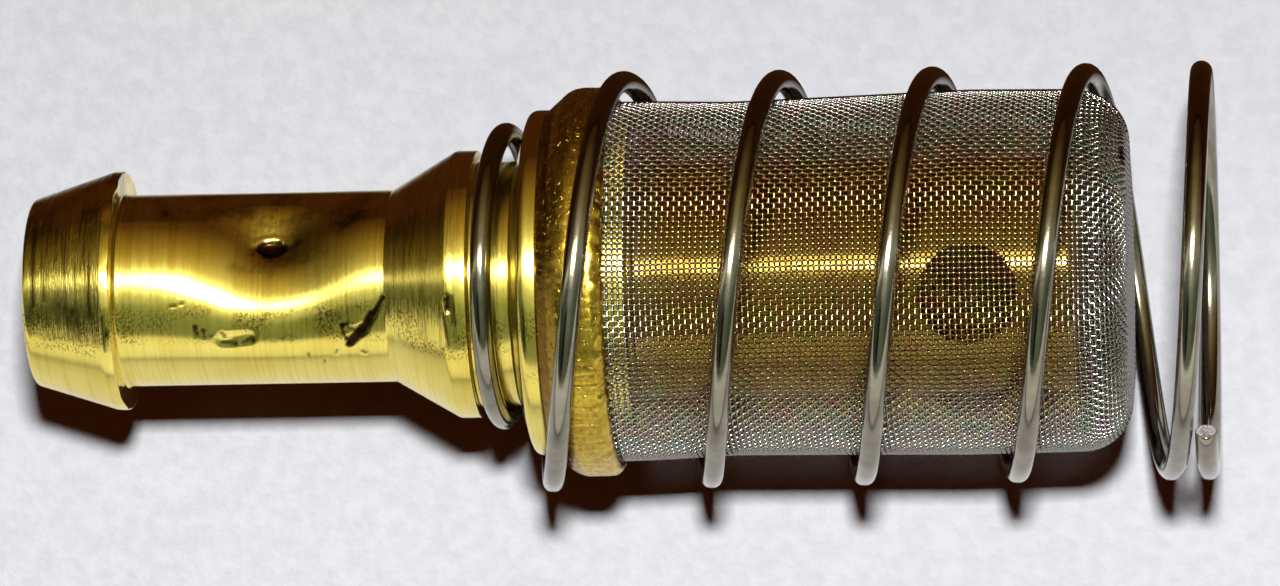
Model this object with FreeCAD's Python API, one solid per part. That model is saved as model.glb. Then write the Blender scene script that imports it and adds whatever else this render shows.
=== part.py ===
"""Fuel pickup filter: a turned brass hose fitting with a staked check ball, a wire-cloth strainer cup
held by a crimp ring, and a loose steel guard spring.

Lengths are in millimetres. The fitting's axis is X, with the hose end towards -X and the strainer
towards +X. The origin is on the axis, in the middle of the hose barb's crest. The filter lies on its side
on the coils of its guard spring, with +Z up. Angles round the axis start at +Z and turn towards +Y.
"""

import FreeCAD
import Part
import math
import os

# Hose barb and neck
BARB_TIP_R = 4.33
BARB_CREST_R = 5.55
BARB_CONE_L = 3.8
BARB_CREST_L = 0.48
NECK_R = 4.46
NECK_L = 12.6
TIP_ROUND = 0.2

# Cone, land and spring groove
CONE_L = 2.97
LAND_R = 6.2
LAND_L = 1.0
GROOVE_R = 5.67
GROOVE_L = 1.94

# Strainer cup of wire cloth
CUP_R = 8.33
CLOTH_T = 0.25
CUP_PAST_CORE = 2.38
CUP_CORNER_R = 2.3
RIDGE_H = 0.1
RIDGE_W = 0.8
GAP_ROWS = 6
GAP_COLUMNS = 14
END_GAPS_ACROSS = 7
END_RIDGE_W = 0.6

# Shoulder flange and the spigot under the cloth
FLANGE_UNDER_CUP = 0.33
FLANGE_FACE_L = 0.6
FLANGE_L = 0.84
FLANGE_ROUND = 0.35
SPIGOT_ROOT_UNDER_FLANGE = 0.7
SPIGOT_ROOT_L = 0.65
SPIGOT_CONE_L = 0.75
SPIGOT_L = 4.15

# Core post and its passages
CORE_R = 5.5
CORE_L = 20.2
CORE_EDGE = 0.4
BORE_R = 3.6
FEED_R = 2.4
SEAT_HALF_ANGLE = 30.0
SEAT_BEFORE_LAND = 0.25
CROSS_HOLE_R = 2.3
CROSS_HOLE_BEFORE_END = 4.9
CROSS_HOLE_ANGLE = -11.0
FEED_PAST_HOLE = 0.5

# Stake dimple in the neck, which keeps the ball in
STAKE_FROM_CREST_FACE = 7.2
STAKE_ANGLE = 33.0
STAKE_DEPTH = 1.3
STAKE_R = 6.0
PUNCH_R = 0.55
PUNCH_DEPTH = 0.12

# Check ball
BALL_R = 3.175
BALL_GAP = 0.03

# Crimp ring
PRESS_GAP = 0.02
RING_WALL = 0.65
RING_LIP_WALL = 0.25
RING_EDGE_UNDER_FLANGE = 0.05
RING_SLOPE_L = 1.16
RING_L = 3.11
RING_LIP_L = 0.42

# Guard spring
WIRE_R = 0.5
GROOVE_COIL_CLEARANCE = 0.45
GROOVE_COIL_LIFT = 0.35
GROOVE_COIL_TURNS = 0.88
GROOVE_COIL_PITCH = 0.7
GROOVE_COIL_BEFORE_FACE = 0.59
GROOVE_COIL_LEAN = 0.5
STEP_TURN = 180.0
STEP_RISE_LAG = 5.0
STEP_RISE_TURN = 125.0
STEP_RAMP = 140.0
OVER_RING_TURN = 98.0
RING_CLEARANCE = 0.15
FIRST_COIL_LAG = 0.3
CUP_CLEARANCE = 0.32
OPEN_COILS = 4
CLOSE_RAMP = 175.0
END_COIL_TURNS = 0.6
END_COIL_PAST_CUP = 3.4
SPANS_PER_TURN = 4


# Stations along the axis, each worked out from the one before it
X_CREST_END = BARB_CREST_L / 2
X_CREST_START = -BARB_CREST_L / 2
X_TIP = X_CREST_START - BARB_CONE_L
X_CONE = X_CREST_END + NECK_L
X_LAND = X_CONE + CONE_L
X_GROOVE = X_LAND + LAND_L
X_FLANGE_FACE = X_GROOVE + GROOVE_L
X_FLANGE = X_FLANGE_FACE + FLANGE_FACE_L
X_RING = X_FLANGE + FLANGE_L
X_RING_END = X_RING + RING_L
X_SPIGOT_END = X_RING + SPIGOT_L
X_CORE_END = X_SPIGOT_END + CORE_L
X_CROSS_HOLE = X_CORE_END - CROSS_HOLE_BEFORE_END
X_CUP_START = X_RING + SPIGOT_ROOT_L + SPIGOT_CONE_L
X_CUP_END = X_CORE_END + CUP_PAST_CORE
X_STAKE = X_CREST_END + STAKE_FROM_CREST_FACE
X_SEAT = X_LAND - SEAT_BEFORE_LAND

# The ball touches the seat's cone on a circle, and BALL_GAP keeps the two solids apart
SEAT_SLOPE = math.radians(SEAT_HALF_ANGLE)
X_BORE_END = X_SEAT - (BORE_R - FEED_R) / math.tan(SEAT_SLOPE)
SEAT_TOUCH_R = BALL_R * math.cos(SEAT_SLOPE)
BALL_FROM_SEAT = BALL_R * math.sin(SEAT_SLOPE) + (SEAT_TOUCH_R - FEED_R) / math.tan(SEAT_SLOPE)
X_BALL = X_SEAT - BALL_FROM_SEAT - BALL_GAP / math.sin(SEAT_SLOPE)

# Radii of the flange, the spigot, the ring and the spring's coils
FLANGE_R = CUP_R - FLANGE_UNDER_CUP
SPIGOT_ROOT_R = FLANGE_R - SPIGOT_ROOT_UNDER_FLANGE
SPIGOT_R = CUP_R - CLOTH_T - PRESS_GAP
RING_EDGE_R = FLANGE_R - RING_EDGE_UNDER_FLANGE
RING_R = CUP_R + PRESS_GAP + RING_WALL
RING_LIP_R = CUP_R + PRESS_GAP + RING_LIP_WALL
GROOVE_COIL_R = GROOVE_R + GROOVE_COIL_CLEARANCE + WIRE_R
OPEN_COIL_R = CUP_R + CUP_CLEARANCE + WIRE_R
FULL_TURN = 360.0


def place(x, radius, degrees):
    """A point at radius from the axis. The angle starts at +Z and turns towards +Y."""
    angle = math.radians(degrees)
    return FreeCAD.Vector(x, radius * math.sin(angle), radius * math.cos(angle))


def turned(profile):
    """A solid of revolution about the axis, from (x, radius) points that go round the section."""
    points = [FreeCAD.Vector(x, 0, radius) for x, radius in profile]
    face = Part.Face(Part.makePolygon(points + points[:1]))
    return face.revolve(FreeCAD.Vector(), FreeCAD.Vector(1, 0, 0), FULL_TURN)


def rod(x, radius, length):
    """A cylinder on the axis, from x towards +X."""
    return Part.makeCylinder(radius, length, FreeCAD.Vector(x, 0, 0), FreeCAD.Vector(1, 0, 0))


def edges_at(solid, x, radius):
    """The round edges on the axis that have this station and radius."""
    found = []
    for edge in solid.Edges:
        curve = edge.Curve
        if not isinstance(curve, Part.Circle):
            continue
        centre = curve.Center
        on_axis = math.hypot(centre.y, centre.z) < 1e-6
        if on_axis and abs(centre.x - x) < 1e-6 and abs(curve.Radius - radius) < 1e-6:
            found.append(edge)
    return found


def stake_sphere(radius):
    """A ball whose surface makes the stake dimple, outside or inside the neck's wall."""
    centre = place(X_STAKE, NECK_R - STAKE_DEPTH + STAKE_R, STAKE_ANGLE)
    return Part.makeSphere(radius, centre)


def fitting_outside():
    """The turned outer form, from the barb's tip to the end of the core post."""
    form = turned(
        [
            (X_TIP, 0),
            (X_TIP, BARB_TIP_R),
            (X_CREST_START, BARB_CREST_R),
            (X_CREST_END, BARB_CREST_R),
            (X_CREST_END, NECK_R),
            (X_CONE, NECK_R),
            (X_LAND, LAND_R),
            (X_GROOVE, LAND_R),
            (X_GROOVE, GROOVE_R),
            (X_FLANGE_FACE, GROOVE_R),
            (X_FLANGE, FLANGE_R),
            (X_RING, FLANGE_R),
            (X_RING, SPIGOT_ROOT_R),
            (X_RING + SPIGOT_ROOT_L, SPIGOT_ROOT_R),
            (X_CUP_START, SPIGOT_R),
            (X_SPIGOT_END, SPIGOT_R),
            (X_SPIGOT_END, CORE_R),
            (X_CORE_END - CORE_EDGE, CORE_R),
            (X_CORE_END, CORE_R - CORE_EDGE),
            (X_CORE_END, 0),
        ]
    )
    form = form.makeFillet(TIP_ROUND, edges_at(form, X_TIP, BARB_TIP_R))
    return form.makeFillet(FLANGE_ROUND, edges_at(form, X_FLANGE, FLANGE_R))


def fitting_passages():
    """The bore, the ball's seat, the feed bore and the cross hole, as one cutting solid."""
    feed_end = X_CROSS_HOLE + CROSS_HOLE_R + FEED_PAST_HOLE
    bores = turned(
        [
            (X_TIP - 1, 0),
            (X_TIP - 1, BORE_R),
            (X_BORE_END, BORE_R),
            (X_SEAT, FEED_R),
            (feed_end, FEED_R),
            (feed_end + FEED_R * math.tan(SEAT_SLOPE), 0),
        ]
    )
    across = place(0, 1, CROSS_HOLE_ANGLE)
    start = FreeCAD.Vector(X_CROSS_HOLE, 0, 0) - across * (CORE_R + 1)
    hole = Part.makeCylinder(CROSS_HOLE_R, 2 * CORE_R + 2, start, across)
    return bores.fuse(hole)


def fitting_body():
    """The brass fitting, bored, drilled and staked inwards over the ball."""
    body = fitting_outside().cut(fitting_passages())
    wall = NECK_R - BORE_R
    bulge = stake_sphere(STAKE_R + wall).common(rod(X_CREST_END, NECK_R - wall / 2, NECK_L))
    body = body.fuse(bulge).cut(stake_sphere(STAKE_R))
    mark_floor = NECK_R - STAKE_DEPTH - PUNCH_DEPTH
    mark = Part.makeCylinder(
        PUNCH_R, STAKE_DEPTH, place(X_STAKE, mark_floor, STAKE_ANGLE), place(0, 1, STAKE_ANGLE)
    )
    return body.cut(mark).removeSplitter()


def crimp_ring():
    """The ring that is swaged down on the spigot's root and rolled in over the cloth."""
    inside = CUP_R + PRESS_GAP
    root = SPIGOT_ROOT_R + PRESS_GAP
    return turned(
        [
            (X_RING + PRESS_GAP, root),
            (X_RING + SPIGOT_ROOT_L, root),
            (X_CUP_START - PRESS_GAP, inside),
            (X_RING_END, inside),
            (X_RING_END, RING_LIP_R),
            (X_RING_END - RING_LIP_L, RING_R),
            (X_RING + RING_SLOPE_L, RING_R),
            (X_RING + PRESS_GAP, RING_EDGE_R),
        ]
    )


def cup_skin(outset, start):
    """A closed cup form with a rounded corner, outset from the cloth's outer face."""
    radius = CUP_R + outset
    end = X_CUP_END + outset
    corner = CUP_CORNER_R + outset
    form = rod(start, radius, end - start)
    return form.makeFillet(corner, edges_at(form, end, radius))


def cup_ridges():
    """Rings and ribs of thicker cloth between the rows and columns of gaps, as one band with both."""
    start = X_RING_END + RIDGE_W / 2
    band_end = X_CUP_END - CUP_CORNER_R
    row_pitch = (band_end - start) / GAP_ROWS
    proud = CUP_R + RIDGE_H
    under = CUP_R - CLOTH_T / 2
    ridges = []
    for row in range(GAP_ROWS + 1):
        middle = start + row * row_pitch
        ring = rod(middle - RIDGE_W / 2, proud, RIDGE_W).cut(rod(middle - RIDGE_W, under, 2 * RIDGE_W))
        ridges.append(ring)
    sleeve = rod(start, proud, band_end - start).cut(rod(start - 1, under, band_end - start + 2))
    rib = Part.makeBox(band_end - start, RIDGE_W, 2 * proud, FreeCAD.Vector(start, -RIDGE_W / 2, -proud))
    for column in range(GAP_COLUMNS // 2):
        turned_rib = rib.copy()
        turned_rib.rotate(FreeCAD.Vector(), FreeCAD.Vector(1, 0, 0), column * FULL_TURN / GAP_COLUMNS)
        ridges.append(sleeve.common(turned_rib))
    return ridges


def cup_gaps():
    """The openings through the cloth, one between each pair of rings and ribs."""
    start = X_RING_END + RIDGE_W / 2
    row_pitch = (X_CUP_END - CUP_CORNER_R - start) / GAP_ROWS
    width = 2 * math.pi * CUP_R / GAP_COLUMNS - RIDGE_W
    gaps = []
    for row in range(GAP_ROWS):
        x = start + row * row_pitch + RIDGE_W / 2
        corner = FreeCAD.Vector(x, -width / 2, -CUP_R - 1)
        bar = Part.makeBox(row_pitch - RIDGE_W, width, 2 * CUP_R + 2, corner)
        for column in range(GAP_COLUMNS // 2):
            turned_bar = bar.copy()
            angle = (column + 0.5) * FULL_TURN / GAP_COLUMNS
            turned_bar.rotate(FreeCAD.Vector(), FreeCAD.Vector(1, 0, 0), angle)
            gaps.append(turned_bar)
    return gaps


def end_gaps():
    """The openings through the cup's flat end, those of a square grid that lie within its corner."""
    reach = CUP_R - CUP_CORNER_R
    pitch = 2 * reach / END_GAPS_ACROSS
    gap = pitch - END_RIDGE_W
    gaps = []
    for row in range(END_GAPS_ACROSS):
        for column in range(END_GAPS_ACROSS):
            y = (row - (END_GAPS_ACROSS - 1) / 2) * pitch
            z = (column - (END_GAPS_ACROSS - 1) / 2) * pitch
            if math.hypot(abs(y) + gap / 2, abs(z) + gap / 2) < reach:
                corner = FreeCAD.Vector(X_CUP_END - 2 * CLOTH_T, y - gap / 2, z - gap / 2)
                gaps.append(Part.makeBox(4 * CLOTH_T, gap, gap, corner))
    return gaps


def strainer_cup():
    """The wire-cloth cup: one thin closed wall, with ridges and a grid of gaps for its weave."""
    cup = cup_skin(0, X_CUP_START).fuse(cup_ridges())
    cup = cup.cut(cup_skin(-CLOTH_T, X_CUP_START - 1))
    return cup.cut(cup_gaps() + end_gaps()).removeSplitter()


def check_ball():
    """The ball, just clear of its seat."""
    return Part.makeSphere(BALL_R, FreeCAD.Vector(X_BALL, 0, 0))


def ease(share):
    """A smooth step from 0 to 1."""
    share = min(max(share, 0.0), 1.0)
    return share * share * (3 - 2 * share)


# The spring's wire is followed by its angle, which grows towards +X. The first open coil reaches its
# full radius at the bottom of the view (-90 degrees), after the step up over the flange.
STEP_END = -90.0
STEP_START = STEP_END - STEP_TURN
WIRE_START = STEP_START - GROOVE_COIL_TURNS * FULL_TURN
OPEN_END = STEP_END + OPEN_COILS * FULL_TURN
WIRE_END = OPEN_END + CLOSE_RAMP + END_COIL_TURNS * FULL_TURN
X_GROOVE_COIL_END = X_FLANGE_FACE - GROOVE_COIL_BEFORE_FACE
X_END_COIL = X_CUP_END + END_COIL_PAST_CUP
RISE = (X_END_COIL - X_GROOVE_COIL_END) / (OPEN_END - STEP_START - STEP_RAMP / 2 + CLOSE_RAMP / 2)
X_OPEN_START = X_GROOVE_COIL_END + RISE * (STEP_TURN - STEP_RAMP / 2)


def wire_station(angle):
    """The wire's place along the axis: level in the groove, an even pitch, then a level end coil."""
    if angle < STEP_START:
        return X_GROOVE_COIL_END - GROOVE_COIL_PITCH * ease((STEP_START - angle) / FULL_TURN)
    if angle < STEP_START + STEP_RAMP:
        return X_GROOVE_COIL_END + RISE * (angle - STEP_START) ** 2 / (2 * STEP_RAMP)
    if angle < OPEN_END:
        lag = FIRST_COIL_LAG * (1 - ease(abs(angle - STEP_END) / 90))
        return X_OPEN_START + RISE * (angle - STEP_END) - lag
    left = max(OPEN_END + CLOSE_RAMP - angle, 0)
    return X_END_COIL - RISE * left**2 / (2 * CLOSE_RAMP)


def wire_risen(angle):
    """How far the wire has stepped up from the groove, from 0 to 1."""
    return ease((angle - STEP_START - STEP_RISE_LAG) / STEP_RISE_TURN)


def wire_radius(angle):
    """The wire's distance from the axis, with the stretch where it rides over the crimp ring."""
    radius = GROOVE_COIL_R + (OPEN_COIL_R - GROOVE_COIL_R) * wire_risen(angle)
    over_ring = RING_R + WIRE_R + RING_CLEARANCE - OPEN_COIL_R
    share = min(abs(angle) / OVER_RING_TURN, 1)
    return radius + over_ring * (1 - share**4) ** 2


def wire_point(angle):
    """A point on the wire's centre line. The loose groove coil sits off the axis and leans in its groove."""
    loose = 1 - wire_risen(angle)
    lean = -GROOVE_COIL_LEAN * loose**2 * math.cos(math.radians(angle))
    shift = FreeCAD.Vector(lean, GROOVE_COIL_LIFT * loose, 0)
    return place(wire_station(angle), wire_radius(angle), angle) + shift


def wire_direction(angle):
    """The wire's direction of travel at this angle."""
    small = 0.01
    return (wire_point(angle + small) - wire_point(angle - small)).normalize()


def arc_of(start, direction, end):
    """The centre, axis and angle in degrees of the arc that leaves start along direction and meets end."""
    chord = end - start
    axis = direction.cross(chord).normalize()
    half = direction.getAngle(chord)
    radius = chord.Length / (2 * math.sin(half))
    return start + axis.cross(direction) * radius, axis, math.degrees(2 * half)


def meeting_point(start, start_way, end, end_way):
    """Where two arcs meet in line, one leaving start along start_way and one reaching end along end_way."""
    chord = end - start
    both = chord.dot(start_way + end_way)
    bend = 2 * (1 - start_way.dot(end_way))
    reach = (math.sqrt(both**2 + bend * chord.dot(chord)) - both) / bend
    return (start + end + (start_way - end_way) * reach) / 2


def guard_spring():
    """One left-hand spring of round wire: groove coil, step up, open coils and a closed end coil."""
    spans = round((WIRE_END - WIRE_START) / FULL_TURN * SPANS_PER_TURN)
    span = (WIRE_END - WIRE_START) / spans
    section = Part.Wire([Part.Circle(wire_point(WIRE_START), wire_direction(WIRE_START), WIRE_R).toShape()])
    faces = [Part.Face(section)]
    length = 0
    for i in range(spans):
        begin = WIRE_START + i * span
        start, start_way = wire_point(begin), wire_direction(begin)
        end, end_way = wire_point(begin + span), wire_direction(begin + span)
        middle = meeting_point(start, start_way, end, end_way)
        second = arc_of(end, end_way * -1, middle)
        for centre, axis, turn in (arc_of(start, start_way, middle), (second[0], second[1] * -1, second[2])):
            faces += section.revolve(centre, axis, turn).Faces
            length += math.radians(turn) * (section.Edges[0].Curve.Center - centre).Length
            section.rotate(centre, axis, turn)
    faces.append(Part.Face(section))
    shell = Part.makeShell(faces)
    shell.sewShape()
    spring = Part.makeSolid(Part.Shell(shell.Faces))
    if spring.Volume < 0:
        spring.reverse()
    print("spring wire", round(length, 2), "mm long,", round(spring.Volume, 2), "mm3, where section times")
    print("length gives", round(math.pi * WIRE_R**2 * length, 2), "mm3")
    return spring


def main():
    """Builds each piece and writes it as a STEP file of its own."""
    pieces = {
        "fitting_body": fitting_body(),
        "crimp_ring": crimp_ring(),
        "strainer_cup": strainer_cup(),
        "guard_spring": guard_spring(),
        "check_ball": check_ball(),
    }
    os.makedirs("parts", exist_ok=True)
    for name, shape in pieces.items():
        print(name, shape.ShapeType, len(shape.Solids), shape.isValid(), round(shape.Volume, 3))
        shape.exportStep(f"parts/{name}.step")


main()
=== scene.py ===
"""The fuel pickup filter's looks: turned and staked brass, a rough crimp ring, a cup of woven wire cloth,
a drawn-wire spring, the floor, the light and the camera. Sizes are in millimetres until MM turns them into
metres. The axis is X, with the hose end towards -X. Angles round it start at +Z and turn towards +Y.
"""

import math

import bpy
import numpy as np
from mathutils import Matrix, Vector


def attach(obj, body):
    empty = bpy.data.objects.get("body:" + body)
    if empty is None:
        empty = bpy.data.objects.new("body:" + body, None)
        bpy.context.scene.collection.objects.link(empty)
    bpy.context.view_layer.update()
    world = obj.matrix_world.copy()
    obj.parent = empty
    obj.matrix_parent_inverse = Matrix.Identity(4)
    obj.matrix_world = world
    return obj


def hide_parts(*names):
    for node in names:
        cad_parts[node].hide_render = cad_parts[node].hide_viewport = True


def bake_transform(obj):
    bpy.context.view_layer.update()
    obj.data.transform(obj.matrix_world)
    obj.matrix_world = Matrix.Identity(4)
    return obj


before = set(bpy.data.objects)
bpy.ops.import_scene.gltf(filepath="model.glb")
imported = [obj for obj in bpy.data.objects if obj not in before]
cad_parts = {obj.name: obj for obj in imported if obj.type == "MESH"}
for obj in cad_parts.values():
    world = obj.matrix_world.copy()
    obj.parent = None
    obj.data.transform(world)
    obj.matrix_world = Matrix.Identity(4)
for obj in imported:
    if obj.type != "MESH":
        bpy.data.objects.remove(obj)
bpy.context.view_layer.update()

MM = 0.001

# Stations along the axis, as in the part's source
X_TIP = -4.04
X_CREST_START = -0.24
X_CREST_END = 0.24
X_CONE = 12.84
X_LAND = 15.81
X_GROOVE = 16.81
X_FLANGE_FACE = 18.75
X_FLANGE = 19.35
X_RING = 20.19
X_ROOT_END = X_RING + 0.65
X_SPIGOT = X_RING + 1.4
X_RING_END = 23.3
X_SPIGOT_END = 24.34
X_CORE_END = 44.54
X_CUP_END = 46.92
X_STAKE = 7.44
X_SEAT = 15.56
X_FEED_END = 42.44
X_CROSS_HOLE = 39.64
SEAT_LENGTH = 2.078
FEED_POINT_LENGTH = 1.38

# Radii
TIP_R = 4.33
CREST_R = 5.55
NECK_R = 4.46
LAND_R = 6.2
GROOVE_R = 5.67
FLANGE_R = 8.0
SPIGOT_ROOT_R = 7.3
SPIGOT_R = 8.06
CORE_R = 5.5
BORE_R = 3.6
FEED_R = 2.4
CROSS_HOLE_R = 2.3
RING_R = 9.0
RING_EDGE_R = 7.95
CUP_R = 8.33

FLOOR_Z = -9.66

# Shapes common to all pieces


def smooth_step(value, low, high):
    """0 below low, 1 above high and a smooth rise between them."""
    share = np.clip((value - low) / (high - low), 0, 1)
    return share * share * (3 - 2 * share)


def turn_apart(angle, degrees):
    """The signed turn from degrees to angle, in radians."""
    return (angle - math.radians(degrees) + math.pi) % (2 * math.pi) - math.pi


def hump(value, half_width, power=2):
    """1 at a value of 0, falling off smoothly on both sides."""
    return np.exp(-((value / half_width) ** power))


def waves(seed, count, low, high):
    """Sines of random pitch from low to high mm, way and phase: an uneven surface over (station, arc)."""
    rng = np.random.default_rng(seed)
    pitch = rng.uniform(low, high, count)
    way = rng.uniform(0, math.tau, count)
    phase = rng.uniform(0, math.tau, count)

    def height(station, arc):
        total = np.zeros_like(station)
        for p, w, f in zip(pitch, way, phase):
            total += np.sin(math.tau * (station * math.cos(w) + arc * math.sin(w)) / p + f)
        return total / math.sqrt(count)

    return height


def make_object(name, points, faces, material, smooth=True):
    """A mesh object from points in mm and quads or triangles."""
    mesh = bpy.data.meshes.new(name)
    mesh.from_pydata((np.asarray(points) * MM).tolist(), [], np.asarray(faces).tolist())
    mesh.materials.append(material)
    mesh.polygons.foreach_set("use_smooth", [smooth] * len(mesh.polygons))
    mesh.update()
    made = bpy.data.objects.new(name, mesh)
    bpy.context.scene.collection.objects.link(made)
    return made


CORNER_POINTS = 6


def rounded(corners):
    """Points along a profile of (station, radius, rounding, step before it), with arcs at its corners."""
    flat = [np.array(corner[:2], float) for corner in corners]
    path = [flat[0]]
    for i in range(1, len(corners)):
        before, here = path[-1], flat[i]
        size, step = corners[i][2:]
        if i == len(corners) - 1 or not size:
            arc = [here]
        else:
            back = (flat[i - 1] - here) / np.linalg.norm(flat[i - 1] - here)
            on = (flat[i + 1] - here) / np.linalg.norm(flat[i + 1] - here)
            t = np.linspace(0, 1, CORNER_POINTS)[:, None]
            arc = list(here + back * size * (1 - t) ** 2 + on * size * t**2)
        pieces = math.ceil(np.linalg.norm(arc[0] - before) / step)
        path += [before + (arc[0] - before) * k / pieces for k in range(1, pieces)]
        path.extend(arc)
    return np.array(path)


def sweep_faces(rings, steps, closed=False):
    """Quads between closed rings of points that follow each other; closed joins the last to the first."""
    row, column = np.meshgrid(np.arange(rings if closed else rings - 1), np.arange(steps), indexing="ij")
    ahead = (row + 1) % rings
    beside = (column + 1) % steps
    corners = [row * steps + column, row * steps + beside, ahead * steps + beside, ahead * steps + column]
    return np.stack(corners, -1).reshape(-1, 4)


def lathe(name, profile, steps, material, shape):
    """A turned piece: the profile swept round the axis, with shape(x, radius, angle) moving its surface."""
    x, angle = np.meshgrid(profile[:, 0], np.arange(steps) * math.tau / steps, indexing="ij")
    x, radius = shape(x, np.repeat(profile[:, 1:2], steps, axis=1), angle)
    points = np.stack([x, radius * np.sin(angle), radius * np.cos(angle)], -1).reshape(-1, 3)
    return make_object(name, points, sweep_faces(len(profile), steps), material)


def paint_attribute(piece, name, values):
    """Writes one value for each point, for the piece's material."""
    made = piece.data.attributes.new(name, "FLOAT", "POINT")
    made.data.foreach_set("value", np.asarray(values, np.float32))


def places_of(piece):
    """Each point's station, angle and radius, in mm and radians."""
    points = np.empty(len(piece.data.vertices) * 3)
    piece.data.vertices.foreach_get("co", points)
    points = points.reshape(-1, 3) / MM
    return points[:, 0], np.arctan2(points[:, 1], points[:, 2]), np.hypot(points[:, 1], points[:, 2])


# Materials


class Nodes:
    """A node tree, with short calls for the few kinds of node that are used. Colours are linear RGB."""

    def __init__(self, tree):
        self.tree = tree

    def node(self, kind, inputs=None, **settings):
        """A new node with its settings, and its inputs set or linked by name or number."""
        made = self.tree.nodes.new(kind)
        for key, value in settings.items():
            setattr(made, key, value)
        for key, value in (inputs or {}).items():
            self.put(value, made.inputs[key])
        return made

    def put(self, value, socket):
        """Links an output, or sets a plain value."""
        if isinstance(value, bpy.types.NodeSocket):
            self.tree.links.new(value, socket)
        else:
            socket.default_value = (*value, 1) if socket.type == "RGBA" else value

    def ramp(self, value, stops):
        """Colours or greys by value, from stops of (value, colour or grey)."""
        made = self.node("ShaderNodeValToRGB", {"Fac": value})
        elements = made.color_ramp.elements
        while len(elements) < len(stops):
            elements.new(0.5)
        for element, (place, colour) in zip(elements, stops):
            element.position = place
            element.color = (*colour, 1) if isinstance(colour, tuple) else (colour, colour, colour, 1)
        return made.outputs["Color"]

    def math(self, operation, a, b=0.0):
        """One operation on two values."""
        return self.node("ShaderNodeMath", {0: a, 1: b}, operation=operation).outputs[0]

    def mix(self, factor, a, b, blend="MIX"):
        """A mix of two colours."""
        inputs = {"Factor": factor, 6: a, 7: b}
        return self.node("ShaderNodeMix", inputs, data_type="RGBA", blend_type=blend).outputs[2]

    def between(self, value, start, end, low=0.0, high=1.0, kind="LINEAR"):
        """low where the value is start, high where it is end, and even or smooth between them."""
        inputs = {"Value": value, "From Min": start, "From Max": end, "To Min": low, "To Max": high}
        return self.node("ShaderNodeMapRange", inputs, interpolation_type=kind).outputs[0]


class Paint(Nodes):
    """One material's nodes."""

    def __init__(self, name):
        self.material = bpy.data.materials.new(name)
        self.material.use_nodes = True
        super().__init__(self.material.node_tree)
        self.shader = self.tree.nodes["Principled BSDF"]
        self.place = self.tree.nodes.new("ShaderNodeTexCoord").outputs["Object"]

    def stretched(self, x, y, z):
        """Object coordinates in mm, times a factor each way."""
        scale = (x / MM, y / MM, z / MM)
        return self.node("ShaderNodeMapping", {"Vector": self.place, "Scale": scale}).outputs[0]

    def noise(self, x, y, z, detail, roughness):
        """Noise over object coordinates in mm, times a factor each way."""
        inputs = {"Vector": self.stretched(x, y, z), "Scale": 1.0, "Detail": detail, "Roughness": roughness}
        return self.node("ShaderNodeTexNoise", inputs).outputs["Fac"]

    def places(self):
        """The X, Y and Z outputs of the object coordinates in mm."""
        return self.node("ShaderNodeSeparateXYZ", {"Vector": self.stretched(1, 1, 1)}).outputs

    def attribute(self, name):
        """A value that paint_attribute wrote."""
        return self.node("ShaderNodeAttribute", attribute_name=name).outputs["Fac"]

    def bump(self, height, distance, normal=None):
        """A bump whose height of 1 stands distance mm proud."""
        inputs = {"Height": height, "Distance": distance * MM, "Strength": 1.0}
        if normal:
            inputs["Normal"] = normal
        return self.node("ShaderNodeBump", inputs).outputs[0]

    def set(self, **sockets):
        """Sets or links the shader's sockets; an underscore in a name stands for a blank."""
        for key, value in sockets.items():
            self.put(value, self.shader.inputs[key.replace("_", " ")])


# Tones as stops of (noise value, colour), single colours, and the heights of bumps in mm
BRASS_TONES = [(0.3, (0.80, 0.63, 0.12)), (0.7, (0.90, 0.77, 0.20))]
BRASS_RING_TONE = (0.55, 0.32, 0.04)
BRASS_RING_HEIGHT = 0.006
BRASS_LINE_HEIGHT = 0.035
# Painted shade that the cloth casts on the post, how much of it covers the post, and the post's extra gloss
POST_SHADE_TONE = (0.40, 0.22, 0.03)
POST_SHADE_COVER = 0.6
POST_GLOSS = 0.07
# The dark tone of tarnish in the marks, also used for painted shade in the punch mark
TARNISH_AND_SHADE_TONE = (0.030, 0.012, 0.004)
TARNISH_ROUGHNESS = 0.28
CRIMP_TONES = [(0.30, (0.38, 0.23, 0.03)), (0.5, (0.56, 0.38, 0.045)), (0.7, (0.68, 0.49, 0.075))]
CRIMP_STAIN_AND_SHADE_TONE = (0.16, 0.07, 0.012)
CRIMP_GRAIN_HEIGHT = 0.012
CRIMP_CHIP_HEIGHT = 0.03
CLOTH_TONES = [(0.35, (0.43, 0.35, 0.38)), (0.5, (0.46, 0.43, 0.37)), (0.65, (0.37, 0.42, 0.39))]
# A painted reflection of the brass post, for the cloth's upper side over it
CLOTH_POST_CAST_TONES = [(0.35, (0.32, 0.17, 0.10)), (0.5, (0.37, 0.24, 0.10)), (0.65, (0.32, 0.26, 0.10))]
# Painted shade for the dark opening in the fold
CLOTH_HOLE_SHADE_TONE = (0.02, 0.018, 0.01)
WIRE_TONES = [(0.35, (0.24, 0.215, 0.165)), (0.65, (0.34, 0.32, 0.255))]
WIRE_PORE_HEIGHT = 0.0015
TORN_TONES = [(0.42, (0.35, 0.31, 0.24)), (0.55, (0.86, 0.85, 0.82))]
TORN_ROUGHNESS = 0.35
TORN_DULLNESS = 0.6
TORN_HEIGHT = 0.06
BALL_TONES = [(0.3, (0.66, 0.66, 0.68)), (0.7, (0.76, 0.76, 0.77))]


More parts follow.
